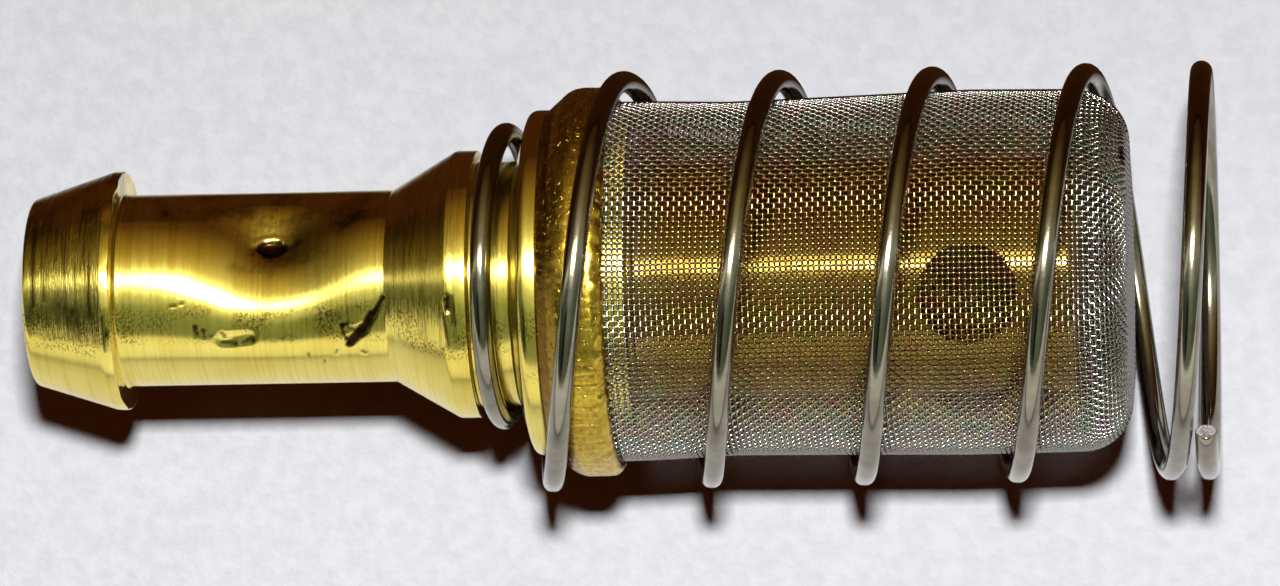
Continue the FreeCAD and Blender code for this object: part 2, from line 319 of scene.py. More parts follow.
def brass_paint():
    """Turned brass: fine rings, turned lines, specks, painted shade of the cloth and a smoother gloss on the
    post, and tarnish in the marks, whose dark tone also paints shade in the punch mark.
    """
    paint = Paint("turned_brass")
    rings = paint.noise(7, 0.12, 0.12, 4, 0.75)
    lines = paint.noise(4, 0.22, 0.22, 4, 0.85)
    specks = paint.noise(9, 6, 6, 4, 0.8)
    clouds = paint.noise(0.35, 0.35, 0.35, 3, 0.6)
    grooved, speckled, post = (paint.attribute(name) for name in ("grooved", "speckled", "post"))
    tone = paint.ramp(clouds, BRASS_TONES)
    tone = paint.mix(paint.ramp(rings, [(0.36, 0.30), (0.52, 0.0)]), tone, BRASS_RING_TONE)
    # Painted shade of the cloth over the post
    tone = paint.mix(paint.math("MULTIPLY", post, POST_SHADE_COVER), tone, POST_SHADE_TONE)
    speck_cover = paint.math("MULTIPLY", paint.ramp(specks, [(0.47, 0.0), (0.60, 0.75)]), speckled)
    line_cover = paint.math("MULTIPLY", paint.ramp(lines, [(0.50, 0.0), (0.60, 0.6)]), grooved)
    # Real tarnish in marks, lines and specks, with painted shade where the attribute holds it
    tarnish_and_shade = paint.math("MAXIMUM", paint.math("MAXIMUM", speck_cover, line_cover), paint.attribute("soil_and_shade"))
    colour = paint.mix(tarnish_and_shade, tone, TARNISH_AND_SHADE_TONE)
    rough = paint.ramp(rings, [(0.3, 0.14), (0.7, 0.21)])
    rough = paint.math("SUBTRACT", rough, paint.math("MULTIPLY", post, POST_GLOSS))
    rough = paint.math("MAXIMUM", rough, paint.math("MULTIPLY", tarnish_and_shade, TARNISH_ROUGHNESS))
    turned = paint.bump(paint.math("MULTIPLY", lines, grooved), BRASS_LINE_HEIGHT)
    bump = paint.bump(rings, BRASS_RING_HEIGHT, turned)
    paint.set(Base_Color=colour, Metallic=1.0, Roughness=rough, Normal=bump)
    return paint.material


def ring_paint():
    """The crimp ring's yellower brass: finely grained, with small raised chips, dark stains, a darker lower
    side on its slope and painted shade inside.
    """
    paint = Paint("rolled_brass")
    grain = paint.noise(4, 2.5, 2.5, 3, 0.6)
    chips = paint.ramp(paint.noise(4.2, 4.2, 4.2, 2, 0.5), [(0.62, 0.0), (0.70, 1.0)])
    rubbed = paint.noise(3, 0.6, 0.6, 3, 0.6)
    colour = paint.mix(paint.attribute("soil_and_shade"), paint.ramp(grain, CRIMP_TONES), CRIMP_STAIN_AND_SHADE_TONE)
    rough = paint.ramp(rubbed, [(0.3, 0.20), (0.7, 0.32)])
    bump = paint.bump(chips, CRIMP_CHIP_HEIGHT, paint.bump(grain, CRIMP_GRAIN_HEIGHT))
    paint.set(Base_Color=colour, Metallic=1.0, Roughness=rough, Normal=bump)
    return paint.material


def cloth_paint():
    """Stainless wire, tinted from place to place, with a painted reflection of the brass post on its upper
    side over the post, and painted shade in the fold's hole.
    """
    paint = Paint("wire_cloth_steel")
    tint = paint.noise(0.9, 0.9, 0.9, 2, 0.6)
    places = paint.places()
    height = paint.ramp(paint.math("DIVIDE", places["Z"], CUP_R), [(0.55, 0.0), (0.85, 1.0)])
    station = paint.math("DIVIDE", places["X"], X_CUP_END)
    post = paint.ramp(station, [(0.50, 0.0), (0.56, 1.0), (0.93, 1.0), (0.97, 0.0)])
    steel, post_cast = paint.ramp(tint, CLOTH_TONES), paint.ramp(tint, CLOTH_POST_CAST_TONES)
    # Painted reflection of the brass post on the cloth's upper side over the post
    tone = paint.mix(paint.math("MULTIPLY", height, post), steel, post_cast)
    # Painted shade where the fold leaves an opening
    tone = paint.mix(paint.attribute("soil_and_shade"), tone, CLOTH_HOLE_SHADE_TONE)
    rough = paint.ramp(paint.noise(3, 3, 3, 3, 0.5), [(0.3, 0.13), (0.7, 0.24)])
    paint.set(Base_Color=tone, Metallic=1.0, Roughness=rough)
    return paint.material


def spring_paint():
    """Drawn spring wire: grey-beige steel with faint stains and fine pores, torn bright at its ends."""
    paint = Paint("spring_wire_steel")
    stain = paint.noise(0.6, 0.6, 0.6, 3, 0.6)
    pores = paint.noise(7, 7, 7, 3, 0.6)
    cut = paint.attribute("cut")
    tone = paint.mix(cut, paint.ramp(stain, WIRE_TONES), paint.ramp(pores, TORN_TONES))
    rough = paint.ramp(pores, [(0.3, 0.09), (0.7, 0.16)])
    rough = paint.math("MAXIMUM", rough, paint.math("MULTIPLY", cut, TORN_ROUGHNESS))
    metal = paint.math("SUBTRACT", 1.0, paint.math("MULTIPLY", cut, TORN_DULLNESS))
    bump = paint.bump(paint.math("MULTIPLY", pores, cut), TORN_HEIGHT, paint.bump(pores, WIRE_PORE_HEIGHT))
    paint.set(Base_Color=tone, Metallic=metal, Roughness=rough, Normal=bump)
    return paint.material


def ball_paint():
    """A polished steel ball, with faint wipe marks in its gloss."""
    paint = Paint("ball_steel")
    marks = paint.noise(1.5, 4, 4, 4, 0.6)
    rough = paint.ramp(marks, [(0.3, 0.06), (0.7, 0.16)])
    paint.set(Base_Color=paint.ramp(marks, BALL_TONES), Metallic=1.0, Roughness=rough)
    return paint.material


# The fitting

FITTING_STEPS = 288
AXIS_R = 0.02
FITTING_CORNERS = [
    # station, radius, rounding, step before it
    (X_FEED_END + FEED_POINT_LENGTH, AXIS_R, 0, 1),
    (X_FEED_END, FEED_R, 0, 0.7),
    (X_SEAT, FEED_R, 0.05, 1.0),
    (X_SEAT - SEAT_LENGTH, BORE_R, 0.1, 0.4),
    (X_TIP, BORE_R, 0.15, 0.25),
    (X_TIP, TIP_R, 0.22, 0.2),
    (X_CREST_START, CREST_R, 0.12, 0.2),
    (X_CREST_END, CREST_R, 0.08, 0.2),
    (X_CREST_END, NECK_R, 0.18, 0.15),
    (X_CONE, NECK_R, 0.06, 0.09),
    (X_LAND, LAND_R, 0.12, 0.1),
    (X_GROOVE, LAND_R, 0.1, 0.2),
    (X_GROOVE, GROOVE_R, 0.08, 0.2),
    (X_FLANGE_FACE, GROOVE_R, 0.1, 0.2),
    (X_FLANGE, FLANGE_R, 0.35, 0.15),
    (X_RING, FLANGE_R, 0.08, 0.15),
    (X_RING, SPIGOT_ROOT_R, 0, 0.3),
    (X_ROOT_END, SPIGOT_ROOT_R, 0, 0.4),
    (X_SPIGOT, SPIGOT_R, 0, 0.5),
    (X_SPIGOT_END, SPIGOT_R, 0.2, 0.5),
    (X_SPIGOT_END, CORE_R, 0.1, 0.4),
    (X_CORE_END, CORE_R, 0.4, 0.6),
    (X_CORE_END, AXIS_R, 0, 0.8),
]
# How near two places count as the same
SAME = 0.01
# Points further out than OUTSIDE_R are on the outside, and points within POST_R are on the post. The neck
# is dented from the first station on, and the bore up to the second one
OUTSIDE_R = BORE_R + 0.2
POST_R = CORE_R + 0.05
X_DENTED_START = X_CREST_END + 0.3
X_DENTED_BORE_END = X_SEAT - 2.2
CROSS_HOLE_TILT = 11.0
CROSS_HOLE_DEPTH = 14.0
CROSS_HOLE_SIDES = 96

# The stake: the neck's wall pressed in by a round-nosed tool, then struck with a punch that raised a lip
STAKE_ANGLE = 33.0
FLAT_DEPTH = 1.0
FLAT_LENGTH = 3.3
FLAT_WIDTH = 3.8
FLAT_WIDTH_ABOVE = 2.8
NOSE_DEPTH = 0.42
NOSE_R = 1.25
PUNCH_DEPTH = 0.07
PUNCH_HALF_LENGTH = 0.72
PUNCH_HALF_WIDTH = 0.69444
PUNCH_EDGE = (0.7, 1.0)
# Where the painted shade in the punch mark's hollow fades out, by reach from the mark's middle, with 1 at
# its edge
PUNCH_SHADE_EDGE = (0.95, 1.12)
PUNCH_UNEVEN = 0.05
LIP_HEIGHT = 0.045
LIP_PLACE = 1.2
LIP_HALF_WIDTH = 0.22
LIP_RISE = (0.0, 0.5)

# The edge behind the barb's crest, broken unevenly: where it is, how far its points move out and along,
# and how the waves that move them run round it, in mm to a radian
BROKEN_REACH = 0.25
BROKEN_R = CREST_R - 0.4
BROKEN_CORE = 0.3
BROKEN_OUT = 0.018
BROKEN_ALONG = 0.03
BROKEN_OUT_ARC = 5
BROKEN_ALONG_ARC = 4
BROKEN_ALONG_START = 9
BROKEN_WAVES = waves(3, 10, 0.8, 4.0)

# Struck marks and stains on the outside: two ends as (station, angle), half width, depth and darkness
MARKS = [
    ((12.78, -8), (12.25, -19), 0.13, 0.03, 1.0),
    ((12.22, -18), (11.72, -29), 0.22, 0.04, 1.0),
    ((11.75, -27), (11.16, -36), 0.26, 0.04, 1.0),
    ((11.30, -33), (11.03, -38), 0.16, 0.03, 1.0),
    ((10.76, -24.5), (11.05, -24.8), 0.10, 0.02, 1.0),
    ((10.76, -25.5), (11.01, -37), 0.09, 0.03, 1.0),
    ((11.15, -27), (11.55, -27), 0.14, 0.03, 0.55),
    ((5.25, -33.5), (6.40, -32), 0.30, 0.09, 0.0),
    ((5.20, -35.5), (5.75, -36.5), 0.12, 0.02, 0.75),
    ((6.35, -34.0), (6.05, -36.5), 0.06, 0.03, 0.6),
    ((15.88, -8), (15.95, -12), 0.14, 0.12, 0.9),
    ((15.95, -12), (16.05, -18), 0.10, 0.06, 0.7),
    ((2.75, -12), (3.50, -10), 0.04, 0.03, 0.8),
    ((9.08, -45), (9.12, -49), 0.04, 0.03, 0.6),
    ((9.83, -49.5), (9.80, -53), 0.04, 0.03, 0.6),
    ((10.50, -42), (10.40, -45), 0.05, 0.03, 0.6),
    ((11.62, -43.5), (11.75, -45), 0.07, 0.04, 0.8),
    ((3.95, -24), (4.02, -29), 0.10, 0.03, 0.9),
    ((4.32, -26), (4.38, -31), 0.08, 0.03, 0.9),
    ((5.15, -28.5), (5.30, -31), 0.09, 0.03, 0.8),
    ((2.50, 49), (2.46, 55), 0.30, 0.0, 0.9),
    ((10.90, 44), (11.45, 50), 0.62, 0.0, 1.0),
    ((10.80, 54), (11.30, 62), 0.60, 0.0, 0.8),
    ((8.49, 56), (9.00, 60), 0.35, 0.0, 0.8),
    ((4.80, 58), (6.20, 62), 0.40, 0.0, 0.7),
    ((8.25, 33), (8.70, 36), 0.24, 0.0, 0.9),
    ((6.55, 27), (6.60, 32), 0.16, 0.0, 0.8),
    ((5.85, 14), (7.60, 12.5), 0.40, 0.0, 0.45),
    ((7.60, 12.5), (9.60, 25), 0.50, 0.0, 0.55),
    ((-0.12, -14), (-0.06, -31), 0.07, 0.03, 0.95),
    ((-2.30, -6), (-1.55, -14), 0.42, 0.0, 0.95),
    ((-2.90, 50), (-1.90, 56), 0.55, 0.0, 0.8),
    ((-0.75, 12), (-0.72, -14), 0.035, 0.015, 0.9),
    ((-0.50, 24), (-0.46, -8), 0.03, 0.015, 0.8),
    ((-3.42, 40), (-3.46, -10), 0.06, 0.015, 0.95),
    ((-2.95, 20), (-2.92, -6), 0.03, 0.01, 0.7),
]
# A mark fades between these shares of its half width: struck and dark ones sharply, the others softly
SHARP_EDGE = (0.6, 1.25)
SOFT_EDGE = (0.1, 1.75)
# How strong a stain without depth is, and how much that varies
STAIN_LEVEL = 0.6
STAIN_SPREAD = 0.25

# Bands round the fitting, in degrees: where each begins, where it is full, and where it stops
BARB_STAIN_BAND = (8, 40, 120)
NECK_STAIN_BAND = (30, 60, 114.6)
TOP_SPECK_BAND = (28, 45, 130)
LINE_BAND = (-33, -24, 120)
LOW_SPECK_RISE = (-38, -33)
LOW_SPECK_FALL = (-17, -7)
# How strong each is, and the values of the waves between which it comes in
BARB_STAIN = 0.55
BARB_STAIN_RANGE = (-0.3, 0.9)
NECK_STAIN = 0.4
NECK_STAIN_RANGE = (-0.2, 1.6)
TOP_SPECKS = 0.5
TOP_SPECK_RANGE = (-0.2, 0.8)
LOW_SPECK_RANGE = (-0.8, 0.4)
# The turned lines on the barb and the cone
CONE_LINES = 0.6
LINE_FADE = 0.4
X_CONE_LINES_END = X_LAND + 0.5
WIDE_STAINS = waves(11, 12, 1.2, 6.0)
FINE_STAINS = waves(12, 16, 0.25, 1.1)


def mark_cover(x, angle, mark):
    """How much of a mark covers each point, from 0 to 1."""
    (start_x, start_turn), (end_x, end_turn), half_width, depth, darkness = mark
    across = turn_apart(angle, start_turn) * NECK_R
    reach = math.radians(end_turn - start_turn) * NECK_R
    run = end_x - start_x
    share = np.clip(((x - start_x) * run + across * reach) / (run**2 + reach**2), 0, 1)
    away = np.hypot(x - start_x - share * run, across - share * reach)
    edge = SHARP_EDGE if depth and darkness else SOFT_EDGE
    return 1 - smooth_step(away / half_width, *edge)


def stake_dent(x, angle):
    """How deep the neck is pressed in at each point, and the point's place along and across the dent."""
    along, across = x - X_STAKE, turn_apart(angle, STAKE_ANGLE) * NECK_R
    width = np.where(across < 0, FLAT_WIDTH, FLAT_WIDTH_ABOVE)
    flat = np.abs(along / FLAT_LENGTH) ** 2.2 + np.abs(across / width) ** 3
    nose = (along**2 + across**2) / NOSE_R**2
    return FLAT_DEPTH * np.exp(-flat) + NOSE_DEPTH * np.exp(-nose), along, across


def punch_reach(along, across):
    """How far each point is from the punch mark's middle, with 1 at the mark's edge."""
    return np.hypot(along / PUNCH_HALF_LENGTH, across / PUNCH_HALF_WIDTH)


def fitting_shape(x, radius, angle):
    """Presses in the stake and the marks, and breaks the edge of the barb's crest."""
    outside = radius > OUTSIDE_R
    neck = outside & (x > X_DENTED_START) & (x < X_CONE) & (radius < NECK_R + SAME)
    dent, along, across = stake_dent(x, angle)
    bored = (~outside) & (x < X_DENTED_BORE_END)
    pressed = radius - np.where(neck | bored, dent, 0)
    punch = punch_reach(along, across)
    lip = LIP_HEIGHT * hump(punch - LIP_PLACE, LIP_HALF_WIDTH) * smooth_step(across, *LIP_RISE)
    pressed -= np.where(neck, PUNCH_DEPTH * (1 - smooth_step(punch, *PUNCH_EDGE)) - lip, 0)
    for mark in MARKS:
        pressed -= np.where(outside, mark[3] * mark_cover(x, angle, mark), 0)
    edge = hump(x - X_CREST_END, BROKEN_REACH) * (radius > BROKEN_R)
    arc = angle * BROKEN_OUT_ARC
    pressed += np.where(outside, BROKEN_OUT * edge * BROKEN_WAVES(arc, arc), 0)
    arc = angle * BROKEN_ALONG_ARC
    x = x + np.where(edge > BROKEN_CORE, BROKEN_ALONG * BROKEN_WAVES(arc + BROKEN_ALONG_START, arc), 0)
    return x, pressed


def cut_cross_hole(piece):
    """Drills the hole across the core post."""
    bpy.ops.mesh.primitive_cylinder_add(
        vertices=CROSS_HOLE_SIDES, radius=CROSS_HOLE_R * MM, depth=CROSS_HOLE_DEPTH * MM
    )
    drill = bpy.context.object
    drill.location = (X_CROSS_HOLE * MM, 0, 0)
    drill.rotation_euler = (math.radians(CROSS_HOLE_TILT), 0, 0)
    cut = piece.modifiers.new("cross_hole", "BOOLEAN")
    cut.operation = "DIFFERENCE"
    cut.solver = "EXACT"
    cut.object = drill
    shaped = piece.evaluated_get(bpy.context.evaluated_depsgraph_get())
    mesh = bpy.data.meshes.new_from_object(shaped)
    piece.modifiers.clear()
    piece.data = mesh
    bpy.data.objects.remove(drill)


def in_band(degrees, band):
    """A smooth rise into a band of angles and a plain stop at its end."""
    start, full, end = band
    return smooth_step(degrees, start, full) * (degrees < end)


def fitting_soil_and_shade(x, angle, dent_place, wide, fine):
    """How dark each point of the outside is: marks, stains on the upper side, and painted shade in the punch
    mark's hollow.
    """
    degrees = np.degrees(angle)
    soil_and_shade = np.zeros_like(x)
    for mark in MARKS:
        depth, darkness = mark[3:]
        stain = 1.0 if depth else STAIN_LEVEL + STAIN_SPREAD * np.clip(fine + wide, -1, 1)
        soil_and_shade = np.maximum(soil_and_shade, darkness * stain * mark_cover(x, angle, mark))
    on_barb = (x < X_CREST_END) * in_band(degrees, BARB_STAIN_BAND)
    barb = BARB_STAIN * on_barb * smooth_step(wide + fine / 2, *BARB_STAIN_RANGE)
    neck = (x > X_CREST_END) & (x < X_CONE)
    on_neck = neck * in_band(degrees, NECK_STAIN_BAND)
    patches = NECK_STAIN * on_neck * smooth_step(fine + wide, *NECK_STAIN_RANGE)
    soil_and_shade = np.maximum(soil_and_shade, np.maximum(barb, patches))
    punch = punch_reach(*dent_place) + PUNCH_UNEVEN * fine
    # Painted shade in the punch mark's hollow
    return np.maximum(soil_and_shade, neck * (1 - smooth_step(punch, *PUNCH_SHADE_EDGE)))


def make_fitting():
    """The brass fitting, with its stake, marks and stains."""
    piece = lathe("brass_fitting", rounded(FITTING_CORNERS), FITTING_STEPS, brass_paint(), fitting_shape)
    cut_cross_hole(piece)
    x, angle, radius = places_of(piece)
    degrees = np.degrees(angle)
    wide = WIDE_STAINS(x, angle * NECK_R)
    fine = FINE_STAINS(x, angle * NECK_R)
    dent, *dent_place = stake_dent(x, angle)
    outside = radius > OUTSIDE_R - np.where(x < X_CONE, dent, 0)
    paint_attribute(piece, "soil_and_shade", outside * fitting_soil_and_shade(x, angle, dent_place, wide, fine))
    low = smooth_step(degrees, *LOW_SPECK_RISE) * (1 - smooth_step(degrees, *LOW_SPECK_FALL))
    low = low * smooth_step(wide, *LOW_SPECK_RANGE)
    top = TOP_SPECKS * in_band(degrees, TOP_SPECK_BAND) * smooth_step(wide, *TOP_SPECK_RANGE)
    paint_attribute(piece, "speckled", outside * np.maximum(low, top))
    barb = smooth_step(x, X_TIP, X_TIP + LINE_FADE) * (x < X_CREST_START)
    cone = CONE_LINES * smooth_step(x, X_CONE, X_CONE + LINE_FADE) * (x < X_CONE_LINES_END)
    paint_attribute(piece, "grooved", outside * (barb + cone) * in_band(degrees, LINE_BAND))
    paint_attribute(piece, "post", outside * (x > X_SPIGOT_END - SAME) * (radius < POST_R))
    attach(piece, "fitting")
    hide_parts("fitting_body")


# The crimp ring

CRIMP_MARKS = 122
STEPS_PER_MARK = 6
RING_GAP = 0.03
RING_CORNERS = [
    # station, radius, rounding, step before it
    (X_RING_END, CUP_R + RING_GAP, 0, 0.2),
    (X_SPIGOT + 0.02, CUP_R + RING_GAP, 0, 0.4),
    (X_ROOT_END, SPIGOT_ROOT_R + RING_GAP, 0, 0.4),
    (X_RING + RING_GAP, SPIGOT_ROOT_R + RING_GAP, 0, 0.4),
    (X_RING + 0.01, RING_EDGE_R + 0.03, 0.03, 0.15),
    (X_RING + 1.16, RING_R, 0.5, 0.06),
    (X_RING_END - 0.42, RING_R, 0.25, 0.07),
    (X_RING_END, CUP_R + 0.3, 0.15, 0.06),
    (X_RING_END, CUP_R + RING_GAP, 0, 0.06),
]
# The slope next to the flange lies outside SLOPE_R, and the rest of the ring's outside fades in by radius
SLOPE_R = 7.6
X_SLOPE_END = X_RING + 1.0
OUTSIDE_START = (CUP_R + 0.1, CUP_R + 0.3)
RING_ROUGHNESS = 0.006
SLOPE_ROUGHNESS = 0.005
SLOPE_ROUGH_END = (X_SLOPE_END, X_RING + 1.6)
# The crimp marks: their depth and how it varies, how far they stray from an even spacing, in radians of
# their own wave, the stations over which they begin and end, and the side where they fade, by cosine
CRIMP_DEPTH = 0.035
CRIMP_LEVEL = 0.6
CRIMP_SPREAD = 0.4
CRIMP_STRAY = 0.5
CRIMP_START = (X_RING + 1.2, X_RING + 1.5)
CRIMP_END = (X_RING_END - 0.7, X_RING_END - 0.35)
PLAIN_TURN = 45.0
PLAIN_SHARE = 0.85
PLAIN_RISE = (0.3, 0.8)
# Stains in the slope's pits and on the lip's end, the slope darker on its lower side, and painted shade
# inside the ring
LOW_SIDE_TURN = -40.0
LOW_SIDE_RISE = (0.2, 0.9)
X_SLOPE_STAIN_END = X_RING + 1.3
SLOPE_STAIN = 0.05
LOW_SIDE_DARKENING = 0.4
PIT_STAIN = 0.4
PIT_RANGE = (1.0, 1.8)
LIP_STAIN = 0.75
INSIDE_SHADE = 0.8
RING_INSIDE_R = CUP_R + 0.08
# The lip rolled in over the cloth, its dark end, and how ragged it is
LIP_START = (X_RING_END - 0.6, X_RING_END - 0.3)
LIP_DARK = (X_RING_END - 0.12, X_RING_END - 0.02)
RAGGED = 0.03
RING_ROUGH_WAVES = waves(21, 24, 0.25, 1.0)
RING_WIDE_WAVES = waves(22, 8, 3.0, 9.0)
RING_LIP_WAVES = waves(23, 14, 0.5, 2.2)
RING_PIT_WAVES = waves(25, 20, 0.2, 0.9)


def ring_shape(x, radius, angle):
    """Roughens the slope, strikes the short crimp marks, and leaves the rolled lip uneven."""
    outside = smooth_step(radius, *OUTSIDE_START) + (x < X_SLOPE_END) * (radius > SLOPE_R)
    outside = np.clip(outside, 0, 1)
    arc = angle * RING_R
    rough = RING_ROUGH_WAVES(x, arc)
    slope = 1 - smooth_step(x, *SLOPE_ROUGH_END)
    radius = radius + outside * rough * (SLOPE_ROUGHNESS * slope + RING_ROUGHNESS)
    band = smooth_step(x, *CRIMP_START) * (1 - smooth_step(x, *CRIMP_END))
    uneven = RING_WIDE_WAVES(arc, arc * 0.3)
    strike = np.maximum(np.cos(angle * CRIMP_MARKS + CRIMP_STRAY * uneven), 0) ** 3
    strike *= 1 - PLAIN_SHARE * smooth_step(np.cos(turn_apart(angle, PLAIN_TURN)), *PLAIN_RISE)
    strike *= CRIMP_LEVEL + CRIMP_SPREAD * np.clip(uneven, -1, 1)
    radius -= outside * band * CRIMP_DEPTH * strike
    lip = smooth_step(x, *LIP_START)
    ragged = RAGGED * RING_LIP_WAVES(arc, arc * 0.2)
    radius += outside * lip * ragged
    x = x + lip * ragged * (radius < RING_R)
    return x, radius


def make_ring():
    """The crimp ring that holds the cloth."""
    steps = CRIMP_MARKS * STEPS_PER_MARK
    piece = lathe("crimped_ring", rounded(RING_CORNERS), steps, ring_paint(), ring_shape)
    x, angle, radius = places_of(piece)
    pits = smooth_step(RING_PIT_WAVES(x, angle * RING_R), *PIT_RANGE)
    slope = (x < X_SLOPE_STAIN_END) & (radius > SLOPE_R)
    low = smooth_step(np.cos(turn_apart(angle, LOW_SIDE_TURN)), *LOW_SIDE_RISE)
    soil_and_shade = slope * (SLOPE_STAIN + LOW_SIDE_DARKENING * low + PIT_STAIN * pits)
    soil_and_shade = np.maximum(soil_and_shade, LIP_STAIN * smooth_step(x, *LIP_DARK))
    # Points inside the ring get painted shade
    paint_attribute(piece, "soil_and_shade", np.where(radius < RING_INSIDE_R, INSIDE_SHADE, soil_and_shade))
    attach(piece, "fitting")
    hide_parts("crimp_ring")


# The wire cloth

CLOTH_WIRES = 204
CLOTH_PITCH = 0.254
CLOTH_WIRE_R = 0.062
CLOTH_WIRE_SIDES = 3
CLOTH_WIRE_TURN = 0.75
CLOTH_LIFT = CLOTH_WIRE_R * 0.85
CLOTH_HALF = 0.13
CLOTH_MID_R = CUP_R - CLOTH_HALF
CORNER_R = 2.3
CORNER_PITCH = CLOTH_PITCH * 0.98
UNDER_LIP = 0.35
END_OVERLAP = 0.12
END_DISH = 0.12
FEWEST_CROSSINGS = 3
# A wire's points lie this far before and after each crossing, in pitches
CROSSING_STEPS = np.array([-0.25, 0.25])
# The cup's real form by station: how much wider than true it is, and how far it leans to +Y
CUP_WIDER = ([22.5, 25.0, 28.5, 34.0, 39.5, 43.5, 46.9], [0.03, 0.0, -0.13, -0.02, 0.11, 0.06, 0.0])
CUP_LEAN = ([24.0, 30.0, 40.0, 46.9], [0.0, 0.05, 0.13, 0.10])
# How unevenly the wires lie: a turn in radians, and a shift in mm that the rows held in the ring don't have
CLOTH_SWAY = 0.004
CLOTH_SHIFT = 0.035
HELD_ROWS = 3
CLOTH_SWAY_WAVES = waves(31, 8, 4.0, 14.0)
CLOTH_SHIFT_WAVES = waves(32, 8, 4.0, 14.0)

# The fold in the closed end's corner, the tucks beside it as (angle, depth), a crease, and the small hole,
# which is painted shade on the wires
FOLD_TURN = 66.0
FOLD_DEPTH = 0.33
FOLD_HALF_TURN = 0.32
FOLD_START = (X_CUP_END - 3.0, X_CUP_END - 1.3)
FOLD_END = (X_CUP_END - 0.45, X_CUP_END - 0.16)
TUCKS = [(22, 0.06), (38, 0.09), (52, 0.16), (80, 0.12), (104, 0.10)]
TUCK_HALF_TURN = 0.05
CREASE_X = 45.3
CREASE_TURN = 35.0
CREASE_DEPTH = 0.10
CREASE_HALF_X = 0.2
CREASE_HALF_TURN = 0.5
HOLE_TURN = 50.0
HOLE_X = 46.72
HOLE_HALF_TURN = 0.10
HOLE_HALF_X = 0.10
HOLE_EDGE = (0.8, 1.2)


def fold_depth(x, angle):
    """How far the cloth is pressed in near its closed end."""
    depth = FOLD_DEPTH * hump(turn_apart(angle, FOLD_TURN), FOLD_HALF_TURN)
    for degrees, size in TUCKS:
        depth = depth + size * hump(turn_apart(angle, degrees), TUCK_HALF_TURN)
    near = smooth_step(x, *FOLD_START) * (1 - smooth_step(x, *FOLD_END))
    crease = hump(x - CREASE_X, CREASE_HALF_X) * hump(turn_apart(angle, CREASE_TURN), CREASE_HALF_TURN, 4)
    return depth * near + CREASE_DEPTH * crease


def fold_hole_shade(x, angle):
    """1 where the fold leaves an opening, painted as shade on the wires, 0 elsewhere."""
    away = np.hypot((x - HOLE_X) / HOLE_HALF_X, turn_apart(angle, HOLE_TURN) / HOLE_HALF_TURN)
    return 1 - smooth_step(away, *HOLE_EDGE)


def cup_profile():
    """The cloth's middle surface at each round wire: station, radius and the way out, up to the flat end."""
    straight = X_CUP_END - CORNER_R
    rows = np.arange(X_RING_END - UNDER_LIP, straight, CLOTH_PITCH)
    mid_corner = CORNER_R - CLOTH_HALF
    turns = np.arange(CLOTH_PITCH / 2, mid_corner * math.pi / 2, CORNER_PITCH) / mid_corner
    corner_r = CLOTH_MID_R - mid_corner
    x = np.concatenate([rows, straight + mid_corner * np.sin(turns)])
    radius = np.concatenate([np.full(len(rows), CLOTH_MID_R), corner_r + mid_corner * np.cos(turns)])
    out_x = np.concatenate([np.zeros(len(rows)), np.sin(turns)])
    out_r = np.concatenate([np.ones(len(rows)), np.cos(turns)])
    return x, radius + np.interp(x, *CUP_WIDER), out_x, out_r


def crimped_tubes(lines, outs, closed):
    """Thin three-sided tubes along lines (wire, point, 3), with outs as the cloth's outward ways."""
    if closed:
        ahead = np.roll(lines, -1, 1) - np.roll(lines, 1, 1)
    else:
        ahead = np.gradient(lines, axis=1)
    ahead /= np.linalg.norm(ahead, axis=2, keepdims=True)
    side = np.cross(ahead, outs)
    side /= np.linalg.norm(side, axis=2, keepdims=True)
    over = np.cross(side, ahead)
    rims = []
    for k in range(CLOTH_WIRE_SIDES):
        turn = math.tau * (k + CLOTH_WIRE_TURN) / CLOTH_WIRE_SIDES
        rims.append(lines + CLOTH_WIRE_R * (side * math.cos(turn) + over * math.sin(turn)))
    points = np.stack(rims, 2)
    wires, count = lines.shape[:2]
    first = np.arange(wires) * count * CLOTH_WIRE_SIDES
    faces = first[:, None, None] + sweep_faces(count, CLOTH_WIRE_SIDES, closed)
    return points.reshape(-1, 3), faces.reshape(-1, 4)


def cup_point(x, radius, angle):
    """A point on the leaning cup."""
    lean = np.interp(x, *CUP_LEAN)
    return np.stack([x, radius * np.sin(angle) + lean, radius * np.cos(angle)], -1)


def cup_wires(rows, columns, lift):
    """Points on the cup at (row, column) places, fractions too, lifted outwards, and the outward ways."""
    spots = cup_profile()
    known = np.arange(len(spots[0]))
    x, radius, out_x, out_r = (np.interp(rows, known, spot) for spot in spots)
    arc = columns * CLOTH_PITCH
    angle = columns * math.tau / CLOTH_WIRES + CLOTH_SWAY * CLOTH_SWAY_WAVES(x, arc)
    shift = CLOTH_SHIFT * CLOTH_SHIFT_WAVES(x, arc) * (rows > HELD_ROWS)
    radius = radius - fold_depth(x, angle)
    bare = cup_point(x + shift, radius, angle)
    out = cup_point(x + shift + out_x, radius + out_r, angle) - bare
    out /= np.linalg.norm(out, axis=-1, keepdims=True)
    return bare + out * lift[..., None], out


def over_or_under(numbers):
    """1 for even numbers and -1 for odd ones: on which side of the crossing wire a wire lies."""
    return 1 - 2 * (np.asarray(numbers) % 2)


